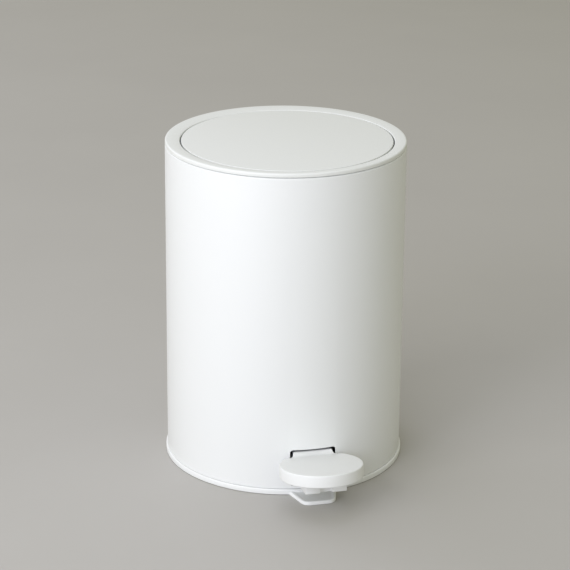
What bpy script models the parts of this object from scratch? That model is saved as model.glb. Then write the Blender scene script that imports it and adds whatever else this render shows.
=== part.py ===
"""Round pedal bin, 5 litre class: a steel can with an inset lid, an inner bucket and a lever under it.

The can stands on z = 0 with its axis on Z. The pedal points along -Y, the lid's hinge is at +Y.
Lengths are in millimetres here and become metres in solid().
"""

import math

import bmesh
import bpy
from mathutils import Matrix, Vector

MM = 0.001

# Driving dimensions
BODY_R = 102.5          # outside of the can
WALL = 0.6              # sheet of the can
HEIGHT = 284.0          # top of the lid
GAP = 0.3               # clearance between pieces that touch
BASE_R = 103.9          # foot ring
RING_H = 5.0            # height of the foot ring
BODY_TOP = 280.0        # top edge of the can, below the shadow line
SHADOW_TOP = 280.6      # lower edge of the collar, above the shadow line
OPENING_Y = -4.7        # the lid and its opening sit this far forward of the axis
OPENING_R = 90.8
LID_R = 89.6
LID_EDGE = 2.5          # thickness of the lid's top plate
COLLAR_PLATE = 2.0
COLLAR_EDGE = 1.5       # rounding of the collar's outer edge
ROUND_SEGMENTS = 64

# Pedal: the pad is a disc that leans back a little at rest and is level when pressed
PAD_Y = -128.3
PAD_Z = 38.9            # top of the pad at its centre
PAD_R = 35.1
PAD_THICK = 10.4
PAD_TILT = math.radians(8.15)
PAD_SCREWS = (-118.0, -136.0)                           # rear and front pair, 10 mm to each side
UNDER_PAD = PAD_THICK / math.cos(PAD_TILT) + 0.35       # from the pad's top plane down to the lever
ARM_SKIN = 2.7          # thickness of the lever's top under the pad
SLOT_HALF = 19.75
SLOT_LOW = 8.0
SLOT_HIGH = 40.8
SLOT_CORNER = 2.6
ARM_HALF = 17.5
ARM_PLATE = 2.5
ARM_FRONT = -145.5
TONGUE_FRONT = -126.3
TONGUE_TOP = 3.4

# Mechanism: the lever turns on PIVOT, lifts the rod, and the rod turns the lid about HINGE
PIVOT_Y, PIVOT_Z = -40.0, 20.0
ROD_Y = 82.2
ROD_R = 2.2
HINGE_Y, HINGE_Z = 92.5, 279.0
CRANK_R = 14.0
LID_OPEN = math.radians(80.0)
CRANK_ANGLE = LID_OPEN / 2            # the crank starts this far below level and ends as far above
ROD_LIFT = 2 * CRANK_R * math.sin(CRANK_ANGLE)
PEDAL_TURN = ROD_LIFT / (ROD_Y - PIVOT_Y)
FOOT_PIN_Z = PIVOT_Z - ROD_LIFT / 2
CRANK_Y = HINGE_Y - CRANK_R * math.cos(CRANK_ANGLE)
CRANK_Z = HINGE_Z - CRANK_R * math.sin(CRANK_ANGLE)
LANE_HALF = 2.05        # half height of the slot in the rod's head that the crank pin slides along
LANE_WALL = 1.2

# Base and inner parts
FLOOR_TOP = 3.3
DECK_Z = 41.2
DECK_THICK = 1.8
DECK_R = 96.5
BUCKET_LOW = DECK_Z + DECK_THICK + GAP
BUCKET_RIM = 254.6
BUCKET_STEP = BUCKET_RIM - 5.1       # the wall steps out here into the rim
BUCKET_R = 83.3
BAIL_R = 82.0
BAIL_Z = BUCKET_RIM + 3.7
BAIL_WIRE = 1.75

WHITE = (0.86, 0.87, 0.87)
FINISHES = {
    "body_paint": (WHITE, 0.45, 0.0),
    "lid_paint": ((0.84, 0.85, 0.84), 0.5, 0.0),
    "white_plastic": ((0.84, 0.85, 0.84), 0.5, 0.0),
    "grey_plastic": ((0.33, 0.34, 0.35), 0.55, 0.0),
    "nylon": ((0.75, 0.73, 0.67), 0.45, 0.0),
    "rubber": ((0.05, 0.05, 0.05), 0.8, 0.0),
    "seal": ((0.62, 0.63, 0.62), 0.7, 0.0),
    "zinc_steel": ((0.62, 0.63, 0.65), 0.35, 1.0),
    "bright_steel": ((0.72, 0.72, 0.73), 0.25, 1.0),
}


def clear_scene():
    for obj in list(bpy.data.objects):
        bpy.data.objects.remove(obj, do_unlink=True)


def material(name):
    found = bpy.data.materials.get(name)
    if found:
        return found
    colour, roughness, metallic = FINISHES[name]
    made = bpy.data.materials.new(name)
    made.use_nodes = True
    shader = made.node_tree.nodes["Principled BSDF"]
    shader.inputs["Base Color"].default_value = (*colour, 1.0)
    shader.inputs["Roughness"].default_value = roughness
    shader.inputs["Metallic"].default_value = metallic
    return made


def solid(name, bm, finish=None):
    """Turns a bmesh in millimetres into an object in metres; with no finish it is a hidden helper."""
    bmesh.ops.remove_doubles(bm, verts=bm.verts, dist=1e-4)
    bmesh.ops.recalc_face_normals(bm, faces=bm.faces)
    bmesh.ops.scale(bm, vec=(MM, MM, MM), verts=bm.verts)
    mesh = bpy.data.meshes.new(name)
    bm.to_mesh(mesh)
    bm.free()
    obj = bpy.data.objects.new(name, mesh)
    bpy.context.scene.collection.objects.link(obj)
    if finish is None:
        obj.hide_render = True
        obj.display_type = "WIRE"
        return obj
    mesh.materials.append(material(finish))
    mesh.shade_smooth()
    mesh.set_sharp_from_angle(angle=math.radians(32))
    return obj


def turned(outline, centre=(0, 0, 0), axis="Z", segments=ROUND_SEGMENTS):
    """Spins an outline of (radius, height) points about an axis through centre.

    An outline whose first and last points lie on the axis makes a full disc; any other is closed."""
    bm = bmesh.new()
    verts = [bm.verts.new((r, 0, z)) for r, z in outline]
    edges = [bm.edges.new(pair) for pair in zip(verts, verts[1:])]
    if outline[0][0] > 0:
        edges.append(bm.edges.new((verts[-1], verts[0])))
    bmesh.ops.spin(
        bm,
        geom=verts + edges,
        cent=(0, 0, 0),
        axis=(0, 0, 1),
        angle=math.tau,
        steps=segments,
        use_merge=True,
    )
    if axis == "X":
        bmesh.ops.rotate(bm, verts=bm.verts, matrix=Matrix.Rotation(math.pi / 2, 3, "Y"))
    bmesh.ops.translate(bm, verts=bm.verts, vec=centre)
    return bm


def prism(outline, low, high, axis="Z"):
    """Extrudes a flat outline from low to high. Along Z the points are (x, y), along X they are (y, z)."""
    bm = bmesh.new()
    if axis == "Z":
        verts = [bm.verts.new((a, b, low)) for a, b in outline]
        way = (0, 0, high - low)
    else:
        verts = [bm.verts.new((low, a, b)) for a, b in outline]
        way = (high - low, 0, 0)
    face = bm.faces.new(verts)
    made = bmesh.ops.extrude_face_region(bm, geom=[face])
    top = [item for item in made["geom"] if isinstance(item, bmesh.types.BMVert)]
    bmesh.ops.translate(bm, verts=top, vec=way)
    return bm


def block(x, y, z):
    return prism([(x[0], y[0]), (x[1], y[0]), (x[1], y[1]), (x[0], y[1])], z[0], z[1])


def arc(centre, radius, start, end, steps):
    """Points on a circle from start to end, in degrees."""
    angles = [math.radians(start + (end - start) * i / steps) for i in range(steps + 1)]
    return [(centre[0] + radius * math.cos(a), centre[1] + radius * math.sin(a)) for a in angles]


def rounded(outline, radii, steps=4):
    """Rounds the corners of a closed outline, one radius for each corner."""
    points = []
    count = len(outline)
    for i, radius in enumerate(radii):
        here = Vector(outline[i])
        back = (Vector(outline[i - 1]) - here).normalized()
        on = (Vector(outline[(i + 1) % count]) - here).normalized()
        if radius == 0:
            points.append(tuple(here))
            continue
        half = back.angle(on) / 2
        start = here + back * radius / math.tan(half)
        end = here + on * radius / math.tan(half)
        centre = here + (back + on).normalized() * radius / math.sin(half)
        for k in range(steps + 1):
            way = (start - centre).lerp(end - centre, k / steps).normalized()
            points.append(tuple(centre + way * radius))
    return points


def boolean(obj, helper, operation="DIFFERENCE"):
    cut = obj.modifiers.new(helper.name, "BOOLEAN")
    cut.operation = operation
    cut.object = helper
    return obj


def cut(obj, *helpers):
    for helper in helpers:
        boolean(obj, helper)
    return obj


def join(obj, *helpers):
    for helper in helpers:
        boolean(obj, helper, "UNION")
    return obj


def rod_z(radius, low, high, x=0.0, y=0.0, segments=20):
    return turned([(0, low), (radius, low), (radius, high), (0, high)], (x, y, 0), "Z", segments)


def rod_x(radius, low, high, y, z, segments=20):
    return turned([(0, low), (radius, low), (radius, high), (0, high)], (0, y, z), "X", segments)


def screw(name, place, outer, seat, tip, head_r, shank_r):
    """A headed screw on a vertical axis: outer and seat are the faces of its head, tip ends its shank."""
    outline = [(0, outer), (head_r, outer), (head_r, seat), (shank_r, seat), (shank_r, tip), (0, tip)]
    return solid(name, turned(outline, (*place, 0), segments=14), "zinc_steel")


def body_shell():
    lip_r = BODY_R - WALL - 1.5
    low = RING_H + GAP
    shell = solid(
        "body_shell",
        turned(
            [
                (BODY_R, low),
                (BODY_R - WALL, low),
                (BODY_R - WALL, BODY_TOP - WALL),
                (lip_r, BODY_TOP - WALL),
                (lip_r, BODY_TOP),
                (BODY_R - 1.4, BODY_TOP),
                (BODY_R - 0.4, BODY_TOP - 0.4),
                (BODY_R, BODY_TOP - 1.4),
            ]
        ),
        "body_paint",
    )
    corners = [
        (-SLOT_HALF, SLOT_LOW),
        (SLOT_HALF, SLOT_LOW),
        (SLOT_HALF, SLOT_HIGH),
        (-SLOT_HALF, SLOT_HIGH),
    ]
    hole = prism(rounded(corners, [SLOT_CORNER] * 4), -4.0, 4.0)
    bmesh.ops.rotate(hole, verts=hole.verts, matrix=Matrix.Rotation(math.pi / 2, 3, "X"))
    bmesh.ops.translate(hole, verts=hole.verts, vec=(0, -BODY_R, 0))
    return cut(shell, solid("slot_cutter", hole))


def tongue_outline(inset=0.0):
    """Plan of the foot tongue below the pedal: it narrows forward and has round front corners."""
    root = -BODY_R + 4.0 - inset * 2.6
    corners = [
        (-21.6 + inset, root),
        (-13.6 + inset, TONGUE_FRONT + inset),
        (13.6 - inset, TONGUE_FRONT + inset),
        (21.6 - inset, root),
    ]
    return rounded(corners, [0, 5.5 - inset, 5.5 - inset, 0], 5)


def base():
    spigot_r = BODY_R - WALL - GAP
    moulding = solid(
        "base_moulding",
        turned(
            [
                (0, FLOOR_TOP),
                (spigot_r - 2.0, FLOOR_TOP),
                (spigot_r - 2.0, 16.0),
                (spigot_r, 16.0),
                (spigot_r, RING_H),
                (BASE_R - 0.9, RING_H),
                (BASE_R - 0.25, RING_H - 0.3),
                (BASE_R, RING_H - 1.0),
                (BASE_R, 1.0),
                (BASE_R - 0.6, GAP),
                (92.6, GAP),
                (92.6, GAP + 1.0),
                (0, GAP + 1.0),
            ]
        ),
        "white_plastic",
    )
    join(moulding, solid("tongue_form", prism(tongue_outline(), GAP, TONGUE_TOP)))
    tray = solid("tongue_tray", prism(tongue_outline(1.7), TONGUE_TOP - 0.8, TONGUE_TOP + 4.0))
    ring_guard = solid(
        "tray_limit", turned([(104.6, 0), (104.6, 9.0), (140.0, 9.0), (140.0, 0)], (0, 0, 0))
    )
    boolean(tray, ring_guard, "INTERSECT")
    gate = solid("spigot_gate", block((-21.0, 21.0), (-BODY_R, -90.0), (RING_H, 20.0)))
    cut(moulding, tray, gate)
    solid("anti_slip_mat", turned([(0, 0), (92.2, 0), (92.2, 1.0), (0, 1.0)]), "rubber")


def pad_height(y):
    """Height of the pad's top plane above the floor at y."""
    return PAD_Z + (PAD_Y - y) * math.tan(PAD_TILT)


def pedal_pad():
    disc = turned(
        [
            (0, 0),
            (PAD_R - 0.9, 0),
            (PAD_R - 0.25, -0.3),
            (PAD_R, -1.0),
            (PAD_R, 0.7 - PAD_THICK),
            (PAD_R - 0.7, -PAD_THICK),
            (0, -PAD_THICK),
        ],
        segments=56,
    )
    lean = Matrix.Rotation(-PAD_TILT, 3, "X")
    bmesh.ops.rotate(disc, verts=disc.verts, matrix=lean)
    bmesh.ops.translate(disc, verts=disc.verts, vec=(0, PAD_Y, PAD_Z))
    pad = solid("pedal_pad", disc, "white_plastic")
    clearance = turned([(50, 0), (50, 80), (104.3, 80), (104.3, 0)])
    cut(pad, solid("can_clearance", clearance))
    top = SLOT_HIGH - 1.6
    back = -95.0
    knee = -105.5
    hollow = arc((knee - 0.6, pad_height(knee) + 4.6), 5.0, -85, -22, 5)
    profile = [
        (-112.0, pad_height(-112.0) - PAD_THICK + 0.6),
        (-112.0, pad_height(-112.0) - 2.0),
        *hollow,
        (-101.2, top - 0.7),
        (-100.6, top),
        (back, top),
        (back, 25.7),
    ]
    neck = solid("neck_form", prism(profile, -ARM_HALF, ARM_HALF, "X"))
    join(pad, neck)
    for side in (-1, 1):
        for number, y in enumerate(PAD_SCREWS):
            tag = f"{'left' if side < 0 else 'right'}_{number}"
            depth = pad_height(y) - PAD_THICK
            cut(pad, solid(f"pad_pilot_{tag}", rod_z(1.3, depth - 6, depth + 5.0, side * 10.0, y, 12)))
    return pad


def arm_profile():
    """Side view of the lever's flanges, from the pad to the rod."""
    front, back = ARM_FRONT, -104.5
    return [
        (front, 20.7),
        (front + 1.2, 19.7),
        (-104.0, 17.6),
        (-60.0, 13.5),
        (-40.0, 12.4),
        (-20.0, 12.6),
        (60.0, 6.6),
        *arc((ROD_Y, FOOT_PIN_Z), 5.6, -90, 80, 6),
        (60.0, 18.0),
        (-25.0, 27.5),
        (-92.0, 27.5),
        (-94.4, 25.0),
        (back, pad_height(back) - UNDER_PAD),
        (front, pad_height(front) - UNDER_PAD),
    ]


def pedal_arm():
    inner = ARM_HALF - ARM_PLATE
    arm = solid("pedal_arm", prism(arm_profile(), -ARM_HALF, ARM_HALF, "X"), "white_plastic")
    y0, y1 = ARM_FRONT + 6.1, 72.0
    hollow = [
        (y0, 8.0),
        (y0, pad_height(y0) - UNDER_PAD - ARM_SKIN),
        (-104.5, pad_height(-104.5) - UNDER_PAD - ARM_SKIN),
        (-92.0, 25.0),
        (-26.0, 25.0),
        (58.0, 15.5),
        (y1, 14.2),
        (y1, 40.0),
        (120.0, 40.0),
        (120.0, 0.0),
        (-20.0, 0.0),
    ]
    channel = solid("arm_channel", prism(hollow, -inner, inner, "X"))
    cut(arm, channel)
    slot = [
        *arc((ROD_Y + 1.6, FOOT_PIN_Z), 2.45, -90, 90, 6),
        *arc((ROD_Y - 1.6, FOOT_PIN_Z), 2.45, 90, 270, 6),
    ]
    recess = block((-5.2, 5.2), (ARM_FRONT - 5.0, ARM_FRONT + 3.6), (10.0, 29.2))
    cut(
        arm,
        solid("arm_pivot_bore", rod_x(4.5, -30, 30, PIVOT_Y, PIVOT_Z, 24)),
        solid("arm_rod_slot", prism(slot, -30, 30, "X")),
        solid("arm_front_recess", recess),
    )
    for side in (-1, 1):
        for y in PAD_SCREWS:
            tag = f"{'left' if side < 0 else 'right'}{int(-y)}"
            cut(arm, solid(f"arm_screw_hole_{tag}", rod_z(1.6, 10, 60, side * 10.0, y, 12)))
    for side, name in ((-1, "left"), (1, "right")):
        for y, place in zip(PAD_SCREWS, ("rear", "front")):
            under = pad_height(y) - UNDER_PAD - ARM_SKIN - GAP - 0.9
            screw(f"pad_screw_{place}_{name}", (side * 10.0, y), under - 1.6, under, under + 6.6, 2.9, 1.2)


def pivot_parts():
    for side, name in ((-1, "left"), (1, "right")):
        cheek = [
            (PIVOT_Y - 9.0, FLOOR_TOP + GAP),
            (PIVOT_Y + 9.0, FLOOR_TOP + GAP),
            *arc((PIVOT_Y, PIVOT_Z), 6.0, 0, 180, 8),
        ]
        x0, x1 = 19.1, 21.1
        low, high = sorted((side * x0, side * x1))
        bracket = solid(f"pivot_bracket_{name}", prism(cheek, low, high, "X"), "zinc_steel")
        f0, f1 = sorted((side * (x1 - 0.5), side * 32.0))
        foot = block((f0, f1), (PIVOT_Y - 9.0, PIVOT_Y + 9.0), (FLOOR_TOP + GAP, FLOOR_TOP + 2.3))
        join(bracket, solid(f"bracket_foot_{name}", foot))
        bore = rod_x(2.8, side * 15.0 - 10, side * 15.0 + 10, PIVOT_Y, PIVOT_Z, 20)
        cut(bracket, solid(f"bracket_bore_{name}", bore))
        bush = turned(
            [(2.8, 14.2), (4.2, 14.2), (4.2, 17.8), (6.0, 17.8), (6.0, 18.8), (2.8, 18.8)],
            segments=20,
        )
        if side < 0:
            bmesh.ops.rotate(bush, verts=bush.verts, matrix=Matrix.Rotation(math.pi, 3, "Y"))
        bmesh.ops.rotate(bush, verts=bush.verts, matrix=Matrix.Rotation(math.pi / 2, 3, "Y"))
        bmesh.ops.translate(bush, verts=bush.verts, vec=(0, PIVOT_Y, PIVOT_Z))
        solid(f"pivot_bush_{name}", bush, "nylon")
    half = [(0, 23.0), (3.8, 23.0), (3.8, 21.5), (2.5, 21.5)]
    outline = half + [(r, -x) for r, x in reversed(half)]
    solid("pedal_pivot_pin", turned(outline, (0, PIVOT_Y, PIVOT_Z), "X", 20), "bright_steel")
    strip = block((-20.5, 20.5), (-92.0, -84.0), (FLOOR_TOP + GAP, 8.6))
    solid("pedal_stop_bumper", strip, "rubber")


def return_spring():
    turns, radius, wire, per_turn = 5, 5.2, 0.7, 10
    low, high = FLOOR_TOP + GAP + wire, 24.6 - wire
    steps = per_turn * turns
    curve = bpy.data.curves.new("pedal_return_spring", "CURVE")
    curve.dimensions = "3D"
    spline = curve.splines.new("POLY")
    spline.points.add(steps)
    for i, point in enumerate(spline.points):
        angle = math.tau * turns * i / steps
        share = i / steps
        point.co = (
            radius * math.cos(angle) * MM,
            (-70.0 + radius * math.sin(angle)) * MM,
            (low + (high - low) * share) * MM,
            1.0,
        )
    curve.bevel_depth = wire * MM
    curve.bevel_resolution = 1
    curve.use_fill_caps = True
    curve.materials.append(material("bright_steel"))
    spring = bpy.data.objects.new("pedal_return_spring", curve)
    bpy.context.scene.collection.objects.link(spring)


def deck():
    plate = solid(
        "bucket_platform",
        turned([(0, DECK_Z), (DECK_R, DECK_Z), (DECK_R, DECK_Z + DECK_THICK), (0, DECK_Z + DECK_THICK)]),
        "grey_plastic",
    )
    for x in (-62.0, 62.0):
        for y in (-50.0, 50.0):
            place = f"{'front' if y < 0 else 'rear'}_{'left' if x < 0 else 'right'}"
            join(plate, solid(f"deck_leg_{place}", rod_z(5.0, FLOOR_TOP + GAP, DECK_Z + 0.5, x, y, 16)))
            sink = turned(
                [(0, 30.0), (1.8, 30.0), (1.8, DECK_Z + 0.5), (3.9, DECK_Z + 0.5), (3.9, 50.0), (0, 50.0)],
                (x, y, 0),
                segments=16,
            )
            cut(plate, solid(f"deck_sink_{place}", sink))
            screw(f"platform_screw_{place}", (x, y), 42.9, 42.0, 30.5, 3.5, 1.5)
    cut(plate, solid("deck_rod_notch", block((-9.0, 9.0), (76.0, 110.0), (30.0, 50.0))))


def push_rod():
    solid("push_rod", rod_z(ROD_R, 15.6, 263.0, 0, ROD_Y, 16), "zinc_steel")
    foot = solid("rod_foot", block((-5.5, 5.5), (ROD_Y - 5.5, ROD_Y + 5.5), (5.6, 22.0)), "nylon")
    cut(
        foot,
        solid("foot_pin_bore", rod_x(2.3, -30, 30, ROD_Y, FOOT_PIN_Z)),
        solid("foot_rod_bore", rod_z(ROD_R + GAP, 15.2, 40.0, 0, ROD_Y)),
    )
    solid("rod_foot_pin", rod_x(2.0, -19.5, 19.5, ROD_Y, FOOT_PIN_Z, 16), "bright_steel")

    lane_rear, lane_front = CRANK_Y + 0.2, HINGE_Y - CRANK_R - 0.2
    reach = LANE_HALF + LANE_WALL
    depth = (lane_front - reach, lane_rear + reach)
    head = solid("rod_head", block((-5.5, 5.5), depth, (CRANK_Z - 4.2, CRANK_Z + 4.2)), "nylon")
    join(head, solid("head_stem", rod_z(3.3, 256.0, CRANK_Z - 2.5, 0, ROD_Y)))
    lane = [
        *arc((lane_rear, CRANK_Z), LANE_HALF, -90, 90, 6),
        *arc((lane_front, CRANK_Z), LANE_HALF, 90, 270, 6),
    ]
    cut(
        head,
        solid("head_lane", prism(lane, -30, 30, "X")),
        solid("head_rod_bore", rod_z(ROD_R + GAP, 250.0, 263.4, 0, ROD_Y)),
    )

    for name, low, high in (("lower", 60.0, 68.0), ("upper", 200.0, 208.0)):
        corners = [(-6.0, ROD_Y - 4.9), (6.0, ROD_Y - 4.9), (6.0, 101.0), (-6.0, 101.0)]
        guide = solid(f"rod_guide_{name}", prism(rounded(corners, [4.0, 4.0, 0.6, 0.6]), low, high), "nylon")
        cut(guide, solid(f"guide_bore_{name}", rod_z(ROD_R + GAP, low - 5, high + 5, 0, ROD_Y)))


def damper():
    x, y = 14.0, 84.0
    tube = [(0, 96.0), (5.5, 96.0), (5.5, 150.0), (1.8, 150.0)]
    bore = [(1.8, 147.0), (4.1, 147.0), (4.1, 99.0), (0, 99.0)]
    solid("damper_cylinder", turned(tube + bore, (x, y, 0), segments=20), "grey_plastic")
    piston = [(0, 104.0), (3.8, 104.0), (3.8, 108.0), (1.5, 108.0), (1.5, 177.0), (0, 177.0)]
    solid("damper_piston", turned(piston, (x, y, 0), segments=16), "bright_steel")
    corners = [(6.3, 76.4), (21.7, 76.4), (21.7, 98.6), (6.3, 98.6)]
    clamp = solid("damper_clamp", prism(rounded(corners, [6.5, 6.5, 0.8, 0.8]), 118.0, 126.0), "zinc_steel")
    cut(clamp, solid("clamp_bore", rod_z(5.8, 110, 135, x, y)))
    corners = [(-5.0, 78.9), (18.5, 79.4), (18.5, 88.5), (-5.0, 88.5)]
    link = solid("damper_link", prism(rounded(corners, [3.5] * 4), 171.0, 174.0), "zinc_steel")
    cut(
        link,
        solid("link_rod_bore", rod_z(ROD_R + GAP, 160, 180, 0, ROD_Y)),
        solid("link_piston_bore", rod_z(1.8, 160, 180, x, y)),
    )


def collar():
    outer_r = BODY_R - 0.1
    edge = arc((outer_r - COLLAR_EDGE, HEIGHT - COLLAR_EDGE), COLLAR_EDGE, 90, 0, 3)
    ring = solid(
        "top_collar",
        turned(
            [
                (84.0, HEIGHT),
                *edge,
                (outer_r, SHADOW_TOP),
                (101.2, SHADOW_TOP),
                (101.2, BODY_TOP + GAP),
                (99.7, BODY_TOP + GAP),
                (99.7, 262.0),
                (98.2, 262.0),
                (98.2, HEIGHT - COLLAR_PLATE),
                (84.0, HEIGHT - COLLAR_PLATE),
            ]
        ),
        "lid_paint",
    )
    mouth = turned(
        [
            (0, 270.0),
            (OPENING_R, 270.0),
            (OPENING_R, HEIGHT - 0.7),
            (OPENING_R + 0.25, HEIGHT - 0.2),
            (OPENING_R + 0.9, HEIGHT + 0.1),
            (OPENING_R + 0.9, 300.0),
            (0, 300.0),
        ],
        (0, OPENING_Y, 0),
    )
    cut(
        ring,
        solid("collar_mouth", mouth),
        solid("collar_rear_gate", block((-26.0, 26.0), (80.0, 120.0), (250.0, HEIGHT - 5.0))),
        solid("collar_hub_room", block((-26.0, 26.0), (91.0, 99.3), (270.0, HEIGHT - COLLAR_PLATE))),
    )
    seat = solid(
        "lid_seat_ring",
        turned(
            [
                (87.2, 278.7),
                (93.0, 278.7),
                (93.0, HEIGHT - COLLAR_PLATE - GAP),
                (91.2, HEIGHT - COLLAR_PLATE - GAP),
                (91.2, 281.1),
                (87.2, 281.1),
            ],
            (0, OPENING_Y, 0),
        ),
        "seal",
    )
    cut(seat, solid("seat_rear_gate", block((-26.0, 26.0), (60.0, 120.0), (250.0, 300.0))))


def lid():
    low = HEIGHT - LID_EDGE
    disc = turned(
        [
            (0, HEIGHT),
            (LID_R - 0.9, HEIGHT),
            (LID_R - 0.25, HEIGHT - 0.3),
            (LID_R, HEIGHT - 0.9),
            (LID_R, low + 0.4),
            (LID_R - 0.4, low),
            (0, low),
        ],
        (0, OPENING_Y, 0),
    )
    solid("lid_disc", disc, "lid_paint")
    liner = turned(
        [(0, low - GAP), (85.5, low - GAP), (85.5, 278.3), (84.7, 277.5), (0, 277.5)], (0, OPENING_Y, 0)
    )
    cover = solid("lid_liner", liner, "white_plastic")

    inner_r, outer_r = 11.2, 17.0
    start, end = 190.0, 276.0
    band = [
        (56.0, 277.2),
        (56.0, 275.0),
        (HINGE_Y - outer_r - 1.5, 275.0),
        *arc((HINGE_Y, HINGE_Z), outer_r, start + 2, end, 8),
        (HINGE_Y + 1.9, HINGE_Z - 3.0),
        *arc((HINGE_Y, HINGE_Z), 2.6, 0, 180, 8),
        (HINGE_Y - 2.2, HINGE_Z - 3.0),
        *arc((HINGE_Y, HINGE_Z), inner_r, 258.0, start, 6),
        (HINGE_Y - inner_r - 0.2, 277.2),
    ]
    arms = solid("lid_hinge_arms", prism(band, -12.0, -8.0, "X"), "zinc_steel")
    other = solid("hinge_arm_right", prism(band, 8.0, 12.0, "X"))
    plate = solid("hinge_plate", block((-20.0, 20.0), (56.0, 76.0), (275.0, 277.2)))
    join(arms, other, plate)
    cut(
        arms,
        solid("arms_hinge_bore", rod_x(1.8, -30, 30, HINGE_Y, HINGE_Z, 16)),
        solid("arms_crank_bore", rod_x(1.8, -30, 30, CRANK_Y, CRANK_Z, 16)),
    )
    for side, name in ((-1, "left"), (1, "right")):
        x, y = side * 16.0, 64.0
        cut(arms, solid(f"plate_hole_{name}", rod_z(1.8, 270, 290, x, y, 14)))
        cut(cover, solid(f"liner_hole_{name}", rod_z(1.8, 270, 280.4, x, y, 14)))
        screw(f"lid_screw_{name}", (x, y), 273.2, 274.7, 280.1, 3.0, 1.5)
    solid("lid_crank_pin", rod_x(1.5, -13.2, 13.2, CRANK_Y, CRANK_Z, 16), "bright_steel")


def lid_hinge():
    solid("lid_hinge_pin", rod_x(1.5, -18.5, 18.5, HINGE_Y, HINGE_Z, 16), "bright_steel")
    for side, name in ((-1, "left"), (1, "right")):
        ear = [
            (HINGE_Y - 6.5, 281.6),
            (HINGE_Y - 4.0, 277.5),
            *arc((HINGE_Y, HINGE_Z), 2.9, 210, 345, 6),
            (HINGE_Y + 2.7, 281.6),
        ]
        low, high = sorted((side * 14.2, side * 16.4))
        bracket = solid(f"hinge_bracket_{name}", prism(ear, low, high, "X"), "zinc_steel")
        f0, f1 = sorted((side * 15.0, side * 24.0))
        flange = block((f0, f1), (HINGE_Y - 6.5, HINGE_Y + 0.2), (280.2, 281.6))
        join(bracket, solid(f"hinge_flange_{name}", flange))
        bore = rod_x(1.8, side * 15 - 9, side * 15 + 9, HINGE_Y, HINGE_Z, 16)
        cut(bracket, solid(f"hinge_bore_{name}", bore))


def bucket():
    pail = solid(
        "inner_bucket",
        turned(
            [
                (0, BUCKET_LOW),
                (73.5, BUCKET_LOW),
                (76.0, BUCKET_LOW + 2.5),
                (81.2, BUCKET_STEP),
                (BUCKET_R, BUCKET_STEP),
                (BUCKET_R, BUCKET_RIM - 0.6),
                (BUCKET_R - 0.6, BUCKET_RIM),
                (80.6, BUCKET_RIM),
                (79.9, BUCKET_STEP),
                (74.7, BUCKET_LOW + 3.1),
                (72.9, BUCKET_LOW + 1.4),
                (0, BUCKET_LOW + 1.4),
            ],
            (0, OPENING_Y, 0),
        ),
        "grey_plastic",
    )
    for side, name in ((-1, "left"), (1, "right")):
        low, high = sorted((side * 77.0, side * 79.0))
        tab = [
            (OPENING_Y - 5.0, BUCKET_RIM - 7.5),
            (OPENING_Y + 5.0, BUCKET_RIM - 7.5),
            *arc((OPENING_Y, BAIL_Z), 4.6, 0, 180, 8),
        ]
        root_x = sorted((side * 78.5, side * 81.8))
        root = block(root_x, (OPENING_Y - 5.0, OPENING_Y + 5.0), (BUCKET_RIM - 7.5, BUCKET_RIM - 1.2))
        join(pail, solid(f"tab_root_{name}", root), solid(f"tab_{name}", prism(tab, low, high, "X")))
        bore = rod_x(BAIL_WIRE + 0.35, side * 78.0 - 6, side * 78.0 + 6, OPENING_Y, BAIL_Z, 14)
        cut(pail, solid(f"tab_bore_{name}", bore))


def bail():
    """Wire handle: it lies on the front half of the rim, and its ends turn in through the bucket's tabs."""
    corner = 4.0
    route = [(75.0, 0.0), (BAIL_R - corner, 0.0)]
    route += [
        (BAIL_R - corner + corner * math.sin(a), -corner + corner * math.cos(a))
        for a in (math.radians(20), math.radians(45), math.radians(70))
    ]
    first = math.degrees(math.asin(corner * 1.3 / BAIL_R))
    front = arc((0, 0), BAIL_R, -first, -180 + first, 28)
    mirrored = [(-x, y) for x, y in reversed(route)]
    points = route + front + mirrored
    curve = bpy.data.curves.new("bucket_handle", "CURVE")
    curve.dimensions = "3D"
    spline = curve.splines.new("POLY")
    spline.points.add(len(points) - 1)
    for target, (x, y) in zip(spline.points, points):
        target.co = (x * MM, (y + OPENING_Y) * MM, BAIL_Z * MM, 1.0)
    curve.bevel_depth = BAIL_WIRE * MM
    curve.bevel_resolution = 2
    curve.use_fill_caps = True
    curve.materials.append(material("bright_steel"))
    wire = bpy.data.objects.new("bucket_handle", curve)
    bpy.context.scene.collection.objects.link(wire)

    bm = bmesh.new()
    sweep, sides, count = math.radians(36), 10, 8
    rings = []
    for radius in (BAIL_WIRE + GAP, 3.2):
        for i in range(count + 1):
            turn = -math.pi / 2 - sweep / 2 + sweep * i / count
            centre = Vector((BAIL_R * math.cos(turn), BAIL_R * math.sin(turn) + OPENING_Y, BAIL_Z))
            out = Vector((math.cos(turn), math.sin(turn), 0))
            ring = []
            for k in range(sides):
                spoke = math.tau * k / sides
                way = out * math.cos(spoke) + Vector((0, 0, math.sin(spoke)))
                ring.append(bm.verts.new(centre + radius * way))
            rings.append(ring)
    span = count + 1
    pairs = [(i, i + 1) for i in range(count)] + [(span + i, span + i + 1) for i in range(count)]
    pairs += [(0, span), (count, span + count)]
    for a, b in pairs:
        for k in range(sides):
            n = (k + 1) % sides
            bm.faces.new((rings[a][k], rings[a][n], rings[b][n], rings[b][k]))
    solid("handle_grip", bm, "grey_plastic")

    for side, name in ((-1, "left"), (1, "right")):
        low, high = sorted((side * 73.4, side * 76.6))
        cap = solid(f"handle_cap_{name}", rod_x(3.6, low, high, OPENING_Y, BAIL_Z, 16), "nylon")
        inner_low, inner_high = sorted((side * 74.6, side * 80.0))
        bore = rod_x(BAIL_WIRE + GAP, inner_low, inner_high, OPENING_Y, BAIL_Z, 14)
        cut(cap, solid(f"cap_bore_{name}", bore))


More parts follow.
